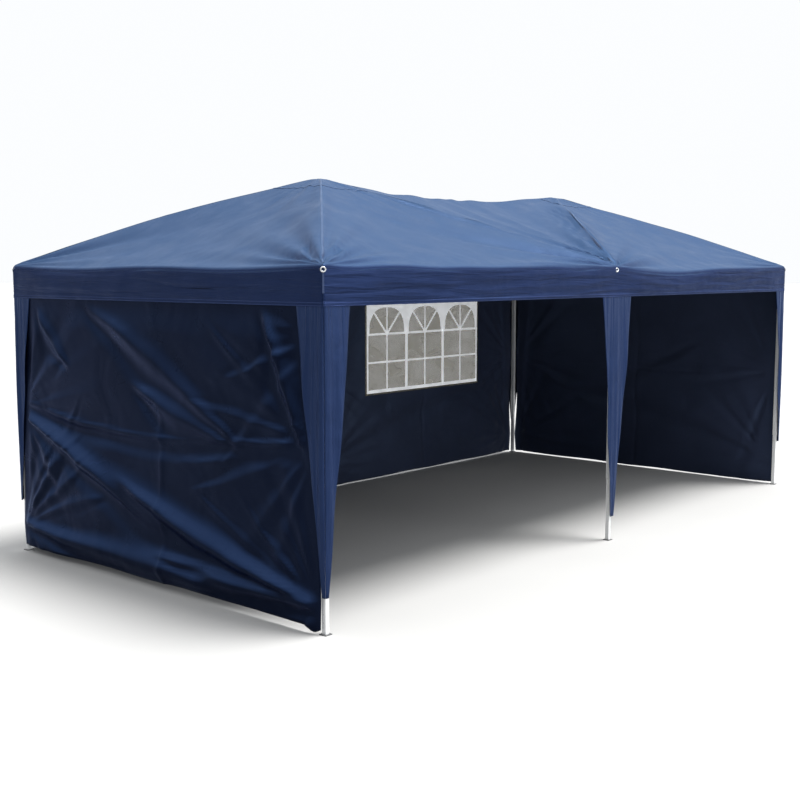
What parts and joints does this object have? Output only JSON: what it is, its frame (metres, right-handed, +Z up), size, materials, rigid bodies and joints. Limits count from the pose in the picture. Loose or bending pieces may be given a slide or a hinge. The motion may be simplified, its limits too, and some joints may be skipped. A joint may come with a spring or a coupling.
{
  "type": "pop up gazebo",
  "caption": "Folding event shelter: telescopic steel legs and scissor trusses carry a two-peaked fabric cover with skirts, side walls and arched clear windows.",
  "frame": {"origin": "centre of the footprint on the ground", "axes": "+X along the long side towards the right as seen from the open front, +Y towards the back walls, +Z up"},
  "size_m": [5.96, 3.01, 2.614],
  "materials": {
    "frame": "satin",
    "leg": "satin",
    "fitting": "matte",
    "cover": "satin",
    "wall": "satin"
  },
  "bodies": {
    "leg_front_left": {"leg_front_left": "frame"},
    "inner_leg_front_left": {"inner_leg_front_left": "leg"},
    "slider_front_left": {"slider_front_left": "fitting"},
    "leg_front_middle": {"leg_front_middle": "frame"},
    "inner_leg_front_middle": {"inner_leg_front_middle": "leg"},
    "slider_front_middle": {"slider_front_middle": "fitting"},
    "leg_front_right": {"leg_front_right": "frame"},
    "inner_leg_front_right": {"inner_leg_front_right": "leg"},
    "slider_front_right": {"slider_front_right": "fitting"},
    "leg_back_left": {"leg_back_left": "frame", "wall_left": "wall"},
    "inner_leg_back_left": {"inner_leg_back_left": "leg"},
    "slider_back_left": {"slider_back_left": "fitting"},
    "leg_back_middle": {"leg_back_middle": "frame", "canopy": "cover", "walls_back": "wall"},
    "inner_leg_back_middle": {"inner_leg_back_middle": "leg"},
    "slider_back_middle": {"slider_back_middle": "fitting"},
    "leg_back_right": {"leg_back_right": "frame", "wall_right": "wall"},
    "inner_leg_back_right": {"inner_leg_back_right": "leg"},
    "slider_back_right": {"slider_back_right": "fitting"},
    "truss_middle_top_1": {"truss_middle_top_1": "frame"},
    "truss_middle_top_2": {"truss_middle_top_2": "frame"},
    "truss_middle_slide_1": {"truss_middle_slide_1": "frame"},
    "truss_middle_slide_2": {"truss_middle_slide_2": "frame"},
    "truss_back_left_top_1": {"truss_back_left_top_1": "frame"},
    "truss_back_left_top_2": {"truss_back_left_top_2": "frame"},
    "truss_back_left_slide_1": {"truss_back_left_slide_1": "frame"},
    "truss_back_left_slide_2": {"truss_back_left_slide_2": "frame"},
    "truss_back_right_top_1": {"truss_back_right_top_1": "frame"},
    "truss_back_right_top_2": {"truss_back_right_top_2": "frame"},
    "truss_back_right_slide_1": {"truss_back_right_slide_1": "frame"},
    "truss_back_right_slide_2": {"truss_back_right_slide_2": "frame"},
    "truss_front_left_top_1": {"truss_front_left_top_1": "frame"},
    "truss_front_left_top_2": {"truss_front_left_top_2": "frame"},
    "truss_front_left_slide_1": {"truss_front_left_slide_1": "frame"},
    "truss_front_left_slide_2": {"truss_front_left_slide_2": "frame"},
    "truss_front_right_top_1": {"truss_front_right_top_1": "frame"},
    "truss_front_right_top_2": {"truss_front_right_top_2": "frame"},
    "truss_front_right_slide_1": {"truss_front_right_slide_1": "frame"},
    "truss_front_right_slide_2": {"truss_front_right_slide_2": "frame"},
    "truss_left_end_top_1": {"truss_left_end_top_1": "frame"},
    "truss_left_end_top_2": {"truss_left_end_top_2": "frame"},
    "truss_left_end_slide_1": {"truss_left_end_slide_1": "frame"},
    "truss_left_end_slide_2": {"truss_left_end_slide_2": "frame"},
    "truss_right_end_top_1": {"truss_right_end_top_1": "frame"},
    "truss_right_end_top_2": {"truss_right_end_top_2": "frame"},
    "truss_right_end_slide_1": {"truss_right_end_slide_1": "frame"},
    "truss_right_end_slide_2": {"truss_right_end_slide_2": "frame"},
    "arm_outer_front_left": {"arm_outer_front_left": "frame"},
    "arm_inner_front_left": {"arm_inner_front_left": "frame"},
    "hub_left": {"hub_left": "fitting"},
    "arm_outer_back_left": {"arm_outer_back_left": "frame"},
    "arm_inner_back_left": {"arm_inner_back_left": "frame"},
    "arm_outer_front_right": {"arm_outer_front_right": "frame"},
    "arm_inner_front_right": {"arm_inner_front_right": "frame"},
    "hub_right": {"hub_right": "fitting"},
    "arm_outer_back_right": {"arm_outer_back_right": "frame"},
    "arm_inner_back_right": {"arm_inner_back_right": "frame"}
  },
  "joints": [
    {"name": "fold", "type": "hinge", "parent": "leg_back_middle", "child": "truss_middle_top_1", "pos_m": [0, 1.415, 1.93], "axis": [1, 0, 0], "range_deg": [0, 81], "deforming": ["canopy", "wall_left", "wall_right", "walls_back"]},
    {"name": "middle_cross_1", "type": "hinge", "parent": "truss_middle_top_1", "child": "truss_middle_slide_1", "pos_m": [0, 0.7075, 1.88], "axis": [-1, 0, 0], "range_deg": [0, 162]},
    {"name": "middle_low_middle", "type": "hinge", "parent": "truss_middle_top_1", "child": "truss_middle_top_2", "pos_m": [0, 0, 1.83], "axis": [-1, 0, 0], "range_deg": [0, 162]},
    {"name": "middle_cross_2", "type": "hinge", "parent": "truss_middle_top_2", "child": "truss_middle_slide_2", "pos_m": [0, -0.7075, 1.88], "axis": [1, 0, 0], "range_deg": [0, 162]},
    {"name": "middle_far_leg", "type": "hinge", "parent": "truss_middle_top_2", "child": "leg_front_middle", "pos_m": [0, -1.415, 1.93], "axis": [1, 0, 0], "range_deg": [0, 81]},
    {"name": "back_left_top_1_hinge", "type": "hinge", "parent": "leg_back_middle", "child": "truss_back_left_top_1", "pos_m": [-0.06, 1.475, 1.93], "axis": [0, -1, 0], "range_deg": [0, 81]},
    {"name": "back_left_cross_1", "type": "hinge", "parent": "truss_back_left_top_1", "child": "truss_back_left_slide_1", "pos_m": [-0.7675, 1.475, 1.88], "axis": [0, 1, 0], "range_deg": [0, 162]},
    {"name": "back_left_low_middle", "type": "hinge", "parent": "truss_back_left_top_1", "child": "truss_back_left_top_2", "pos_m": [-1.475, 1.475, 1.83], "axis": [0, 1, 0], "range_deg": [0, 162]},
    {"name": "back_left_cross_2", "type": "hinge", "parent": "truss_back_left_top_2", "child": "truss_back_left_slide_2", "pos_m": [-2.1825, 1.475, 1.88], "axis": [0, -1, 0], "range_deg": [0, 162]},
    {"name": "back_left_far_leg", "type": "hinge", "parent": "truss_back_left_top_2", "child": "leg_back_left", "pos_m": [-2.89, 1.475, 1.93], "axis": [0, -1, 0], "range_deg": [0, 81]},
    {"name": "back_right_top_1_hinge", "type": "hinge", "parent": "leg_back_middle", "child": "truss_back_right_top_1", "pos_m": [0.06, 1.475, 1.93], "axis": [0, 1, 0], "range_deg": [0, 81]},
    {"name": "back_right_cross_1", "type": "hinge", "parent": "truss_back_right_top_1", "child": "truss_back_right_slide_1", "pos_m": [0.7675, 1.475, 1.88], "axis": [0, -1, 0], "range_deg": [0, 162]},
    {"name": "back_right_low_middle", "type": "hinge", "parent": "truss_back_right_top_1", "child": "truss_back_right_top_2", "pos_m": [1.475, 1.475, 1.83], "axis": [0, -1, 0], "range_deg": [0, 162]},
    {"name": "back_right_cross_2", "type": "hinge", "parent": "truss_back_right_top_2", "child": "truss_back_right_slide_2", "pos_m": [2.1825, 1.475, 1.88], "axis": [0, 1, 0], "range_deg": [0, 162]},
    {"name": "back_right_far_leg", "type": "hinge", "parent": "truss_back_right_top_2", "child": "leg_back_right", "pos_m": [2.89, 1.475, 1.93], "axis": [0, 1, 0], "range_deg": [0, 81]},
    {"name": "front_left_top_1_hinge", "type": "hinge", "parent": "leg_front_middle", "child": "truss_front_left_top_1", "pos_m": [-0.06, -1.475, 1.93], "axis": [0, -1, 0], "range_deg": [0, 81]},
    {"name": "front_left_cross_1", "type": "hinge", "parent": "truss_front_left_top_1", "child": "truss_front_left_slide_1", "pos_m": [-0.7675, -1.475, 1.88], "axis": [0, 1, 0], "range_deg": [0, 162]},
    {"name": "front_left_low_middle", "type": "hinge", "parent": "truss_front_left_top_1", "child": "truss_front_left_top_2", "pos_m": [-1.475, -1.475, 1.83], "axis": [0, 1, 0], "range_deg": [0, 162]},
    {"name": "front_left_cross_2", "type": "hinge", "parent": "truss_front_left_top_2", "child": "truss_front_left_slide_2", "pos_m": [-2.1825, -1.475, 1.88], "axis": [0, -1, 0], "range_deg": [0, 162]},
    {"name": "front_left_far_leg", "type": "hinge", "parent": "truss_front_left_top_2", "child": "leg_front_left", "pos_m": [-2.89, -1.475, 1.93], "axis": [0, -1, 0], "range_deg": [0, 81]},
    {"name": "front_right_top_1_hinge", "type": "hinge", "parent": "leg_front_middle", "child": "truss_front_right_top_1", "pos_m": [0.06, -1.475, 1.93], "axis": [0, 1, 0], "range_deg": [0, 81]},
    {"name": "front_right_cross_1", "type": "hinge", "parent": "truss_front_right_top_1", "child": "truss_front_right_slide_1", "pos_m": [0.7675, -1.475, 1.88], "axis": [0, -1, 0], "range_deg": [0, 162]},
    {"name": "front_right_low_middle", "type": "hinge", "parent": "truss_front_right_top_1", "child": "truss_front_right_top_2", "pos_m": [1.475, -1.475, 1.83], "axis": [0, -1, 0], "range_deg": [0, 162]},
    {"name": "front_right_cross_2", "type": "hinge", "parent": "truss_front_right_top_2", "child": "truss_front_right_slide_2", "pos_m": [2.1825, -1.475, 1.88], "axis": [0, 1, 0], "range_deg": [0, 162]},
    {"name": "front_right_far_leg", "type": "hinge", "parent": "truss_front_right_top_2", "child": "leg_front_right", "pos_m": [2.89, -1.475, 1.93], "axis": [0, 1, 0], "range_deg": [0, 81]},
    {"name": "left_end_top_1_hinge", "type": "hinge", "parent": "leg_back_left", "child": "truss_left_end_top_1", "pos_m": [-2.95, 1.415, 1.93], "axis": [1, 0, 0], "range_deg": [0, 81]},
    {"name": "left_end_cross_1", "type": "hinge", "parent": "truss_left_end_top_1", "child": "truss_left_end_slide_1", "pos_m": [-2.95, 0.7075, 1.88], "axis": [-1, 0, 0], "range_deg": [0, 162]},
    {"name": "left_end_top_2_hinge", "type": "hinge", "parent": "leg_front_left", "child": "truss_left_end_top_2", "pos_m": [-2.95, -1.415, 1.93], "axis": [-1, 0, 0], "range_deg": [0, 81]},
    {"name": "left_end_cross_2", "type": "hinge", "parent": "truss_left_end_top_2", "child": "truss_left_end_slide_2", "pos_m": [-2.95, -0.7075, 1.88], "axis": [1, 0, 0], "range_deg": [0, 162]},
    {"name": "right_end_top_1_hinge", "type": "hinge", "parent": "leg_back_right", "child": "truss_right_end_top_1", "pos_m": [2.95, 1.415, 1.93], "axis": [1, 0, 0], "range_deg": [0, 81]},
    {"name": "right_end_cross_1", "type": "hinge", "parent": "truss_right_end_top_1", "child": "truss_right_end_slide_1", "pos_m": [2.95, 0.7075, 1.88], "axis": [-1, 0, 0], "range_deg": [0, 162]},
    {"name": "right_end_top_2_hinge", "type": "hinge", "parent": "leg_front_right", "child": "truss_right_end_top_2", "pos_m": [2.95, -1.415, 1.93], "axis": [-1, 0, 0], "range_deg": [0, 81]},
    {"name": "right_end_cross_2", "type": "hinge", "parent": "truss_right_end_top_2", "child": "truss_right_end_slide_2", "pos_m": [2.95, -0.7075, 1.88], "axis": [1, 0, 0], "range_deg": [0, 162]},
    {"name": "slider_back_middle_pin", "type": "hinge", "parent": "truss_middle_slide_1", "child": "slider_back_middle", "pos_m": [0, 1.415, 1.83], "axis": [1, 0, 0], "range_deg": [0, 81]},
    {"name": "slider_back_left_pin", "type": "hinge", "parent": "truss_back_left_slide_2", "child": "slider_back_left", "pos_m": [-2.89, 1.475, 1.83], "axis": [0, 1, 0], "range_deg": [0, 81]},
    {"name": "slider_back_right_pin", "type": "hinge", "parent": "truss_back_right_slide_2", "child": "slider_back_right", "pos_m": [2.89, 1.475, 1.83], "axis": [0, -1, 0], "range_deg": [0, 81]},
    {"name": "slider_front_middle_pin", "type": "hinge", "parent": "truss_middle_slide_2", "child": "slider_front_middle", "pos_m": [0, -1.415, 1.83], "axis": [-1, 0, 0], "range_deg": [0, 81]},
    {"name": "slider_front_left_pin", "type": "hinge", "parent": "truss_front_left_slide_2", "child": "slider_front_left", "pos_m": [-2.89, -1.475, 1.83], "axis": [0, 1, 0], "range_deg": [0, 81]},
    {"name": "slider_front_right_pin", "type": "hinge", "parent": "truss_front_right_slide_2", "child": "slider_front_right", "pos_m": [2.89, -1.475, 1.83], "axis": [0, -1, 0], "range_deg": [0, 81]},
    {"name": "arm_root_front_left", "type": "hinge", "parent": "leg_front_left", "child": "arm_outer_front_left", "pos_m": [-2.90121, -1.45308, 1.978], "axis": [-0.7071, 0.7071, 0], "range_deg": [0, 81]},
    {"name": "arm_elbow_front_left", "type": "hinge", "parent": "arm_outer_front_left", "child": "arm_inner_front_left", "pos_m": [-2.27224, -0.84037, 2.19829], "axis": [0.7071, -0.7071, 0], "range_deg": [0, 162]},
    {"name": "hub_left_pin", "type": "hinge", "parent": "arm_inner_front_left", "child": "hub_left", "pos_m": [-1.47808, -0.04621, 2.56], "axis": [-0.7071, 0.7071, 0], "range_deg": [0, 81]},
    {"name": "arm_root_back_left", "type": "hinge", "parent": "leg_back_left", "child": "arm_outer_back_left", "pos_m": [-2.92808, 1.42621, 1.978], "axis": [0.7071, 0.7071, 0], "range_deg": [0, 81]},
    {"name": "arm_elbow_back_left", "type": "hinge", "parent": "arm_outer_back_left", "child": "arm_inner_back_left", "pos_m": [-2.31537, 0.79724, 2.19829], "axis": [-0.7071, -0.7071, 0], "range_deg": [0, 162]},
    {"name": "arm_root_front_right", "type": "hinge", "parent": "leg_front_right", "child": "arm_outer_front_right", "pos_m": [2.92808, -1.42621, 1.978], "axis": [-0.7071, -0.7071, 0], "range_deg": [0, 81]},
    {"name": "arm_elbow_front_right", "type": "hinge", "parent": "arm_outer_front_right", "child": "arm_inner_front_right", "pos_m": [2.31537, -0.79724, 2.19829], "axis": [0.7071, 0.7071, 0], "range_deg": [0, 162]},
    {"name": "hub_right_pin", "type": "hinge", "parent": "arm_inner_front_right", "child": "hub_right", "pos_m": [1.52121, -0.00308, 2.56], "axis": [-0.7071, -0.7071, 0], "range_deg": [0, 81]},
    {"name": "arm_root_back_right", "type": "hinge", "parent": "leg_back_right", "child": "arm_outer_back_right", "pos_m": [2.90121, 1.45308, 1.978], "axis": [0.7071, -0.7071, 0], "range_deg": [0, 81]},
    {"name": "arm_elbow_back_right", "type": "hinge", "parent": "arm_outer_back_right", "child": "arm_inner_back_right", "pos_m": [2.27224, 0.84037, 2.19829], "axis": [-0.7071, 0.7071, 0], "range_deg": [0, 162]},
    {"name": "inner_leg_front_left_slide", "type": "slide", "parent": "leg_front_left", "child": "inner_leg_front_left", "axis": [0, 0, 1], "range_m": [0, 0.435]},
    {"name": "inner_leg_front_middle_slide", "type": "slide", "parent": "leg_front_middle", "child": "inner_leg_front_middle", "axis": [0, 0, 1], "range_m": [0, 0.435]},
    {"name": "inner_leg_front_right_slide", "type": "slide", "parent": "leg_front_right", "child": "inner_leg_front_right", "axis": [0, 0, 1], "range_m": [0, 0.435]},
    {"name": "inner_leg_back_left_slide", "type": "slide", "parent": "leg_back_left", "child": "inner_leg_back_left", "axis": [0, 0, 1], "range_m": [0, 0.435]},
    {"name": "inner_leg_back_middle_slide", "type": "slide", "parent": "leg_back_middle", "child": "inner_leg_back_middle", "axis": [0, 0, 1], "range_m": [0, 0.435]},
    {"name": "inner_leg_back_right_slide", "type": "slide", "parent": "leg_back_right", "child": "inner_leg_back_right", "axis": [0, 0, 1], "range_m": [0, 0.435]}
  ],
  "couplings": [
    {"joint": "middle_cross_1", "follows": "fold", "ratio": 2},
    {"joint": "middle_low_middle", "follows": "fold", "ratio": 2},
    {"joint": "middle_cross_2", "follows": "fold", "ratio": 2},
    {"joint": "middle_far_leg", "follows": "fold", "ratio": 1},
    {"joint": "back_left_top_1_hinge", "follows": "fold", "ratio": 1},
    {"joint": "back_left_cross_1", "follows": "fold", "ratio": 2},
    {"joint": "back_left_low_middle", "follows": "fold", "ratio": 2},
    {"joint": "back_left_cross_2", "follows": "fold", "ratio": 2},
    {"joint": "back_left_far_leg", "follows": "fold", "ratio": 1},
    {"joint": "back_right_top_1_hinge", "follows": "fold", "ratio": 1},
    {"joint": "back_right_cross_1", "follows": "fold", "ratio": 2},
    {"joint": "back_right_low_middle", "follows": "fold", "ratio": 2},
    {"joint": "back_right_cross_2", "follows": "fold", "ratio": 2},
    {"joint": "back_right_far_leg", "follows": "fold", "ratio": 1},
    {"joint": "front_left_top_1_hinge", "follows": "fold", "ratio": 1},
    {"joint": "front_left_cross_1", "follows": "fold", "ratio": 2},
    {"joint": "front_left_low_middle", "follows": "fold", "ratio": 2},
    {"joint": "front_left_cross_2", "follows": "fold", "ratio": 2},
    {"joint": "front_left_far_leg", "follows": "fold", "ratio": 1},
    {"joint": "front_right_top_1_hinge", "follows": "fold", "ratio": 1},
    {"joint": "front_right_cross_1", "follows": "fold", "ratio": 2},
    {"joint": "front_right_low_middle", "follows": "fold", "ratio": 2},
    {"joint": "front_right_cross_2", "follows": "fold", "ratio": 2},
    {"joint": "front_right_far_leg", "follows": "fold", "ratio": 1},
    {"joint": "left_end_top_1_hinge", "follows": "fold", "ratio": 1},
    {"joint": "left_end_cross_1", "follows": "fold", "ratio": 2},
    {"joint": "left_end_top_2_hinge", "follows": "fold", "ratio": 1},
    {"joint": "left_end_cross_2", "follows": "fold", "ratio": 2},
    {"joint": "right_end_top_1_hinge", "follows": "fold", "ratio": 1},
    {"joint": "right_end_cross_1", "follows": "fold", "ratio": 2},
    {"joint": "right_end_top_2_hinge", "follows": "fold", "ratio": 1},
    {"joint": "right_end_cross_2", "follows": "fold", "ratio": 2},
    {"joint": "slider_back_middle_pin", "follows": "fold", "ratio": 1},
    {"joint": "slider_back_left_pin", "follows": "fold", "ratio": 1},
    {"joint": "slider_back_right_pin", "follows": "fold", "ratio": 1},
    {"joint": "slider_front_middle_pin", "follows": "fold", "ratio": 1},
    {"joint": "slider_front_left_pin", "follows": "fold", "ratio": 1},
    {"joint": "slider_front_right_pin", "follows": "fold", "ratio": 1},
    {"joint": "arm_root_front_left", "follows": "fold", "ratio": 1},
    {"joint": "arm_elbow_front_left", "follows": "fold", "ratio": 2},
    {"joint": "hub_left_pin", "follows": "fold", "ratio": 1},
    {"joint": "arm_root_back_left", "follows": "fold", "ratio": 1},
    {"joint": "arm_elbow_back_left", "follows": "fold", "ratio": 2},
    {"joint": "arm_root_front_right", "follows": "fold", "ratio": 1},
    {"joint": "arm_elbow_front_right", "follows": "fold", "ratio": 2},
    {"joint": "hub_right_pin", "follows": "fold", "ratio": 1},
    {"joint": "arm_root_back_right", "follows": "fold", "ratio": 1},
    {"joint": "arm_elbow_back_right", "follows": "fold", "ratio": 2}
  ]
}
